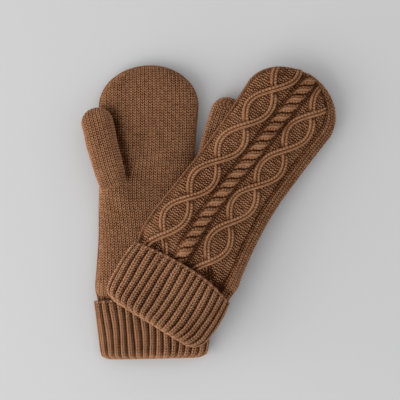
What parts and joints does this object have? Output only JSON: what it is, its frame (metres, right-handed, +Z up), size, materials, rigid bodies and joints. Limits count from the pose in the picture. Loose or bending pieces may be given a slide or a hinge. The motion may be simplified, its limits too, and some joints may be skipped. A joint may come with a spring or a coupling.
{
  "type": "pair of knit mittens",
  "caption": "Pair of lined knit mittens with cabled backs and turned-up ribbed cuffs, one laid over the other.",
  "frame": {"origin": "centre of the pair's outline on the surface it lies on", "axes": "+Y from the cuffs towards the fingertips, +Z up from the surface"},
  "size_m": [0.2376, 0.275, 0.0498],
  "materials": {
    "knit": "matte",
    "rib": "matte",
    "fleece": "matte",
    "thread": "matte"
  },
  "bodies": {
    "left_hand": {"left_palm_panel": "knit", "left_back_panel": "knit", "left_side_seam": "thread", "left_wrist_seam": "thread", "left_hand_lining": "fleece", "left_lining_hem": "thread", "left_cuff_inner_ply": "rib", "left_thumb_base_seam": "thread"},
    "left_thumb": {"left_thumb_shell": "knit", "left_thumb_lining": "fleece"},
    "left_cuff": {"left_cuff_turnup": "rib", "left_cuff_edge": "rib"},
    "right_hand": {"right_palm_panel": "knit", "right_back_panel": "knit", "right_side_seam": "thread", "right_wrist_seam": "thread", "right_hand_lining": "fleece", "right_lining_hem": "thread", "right_cuff_inner_ply": "rib", "right_thumb_base_seam": "thread"},
    "right_thumb": {"right_thumb_shell": "knit", "right_thumb_lining": "fleece"},
    "right_cuff": {"right_cuff_turnup": "rib", "right_cuff_edge": "rib"}
  },
  "joints": [
    {"name": "right_mitten_lift", "type": "slide", "parent": "left_hand", "child": "right_hand", "axis": [0, 0, 1], "range_m": [0, 0.1]},
    {"name": "left_thumb_swing", "type": "hinge", "parent": "left_hand", "child": "left_thumb", "pos_m": [-0.08468, 0.02381, 0.019], "axis": [-0.2079, -0.0044, 0.9781], "range_deg": [-20, 30]},
    {"name": "right_thumb_swing", "type": "hinge", "parent": "right_hand", "child": "right_thumb", "pos_m": [0.00037, 0.03438, 0.01695], "axis": [-0.025, -0.0257, -0.9994], "range_deg": [-5, 10]},
    {"name": "left_cuff_turndown", "type": "slide", "parent": "left_hand", "child": "left_cuff", "axis": [0.0209, -0.9998, 0], "range_m": [0, 0.05]},
    {"name": "right_cuff_turndown", "type": "slide", "parent": "right_hand", "child": "right_cuff", "axis": [-0.5275, -0.8473, 0.0619], "range_m": [0, 0.05]}
  ]
}
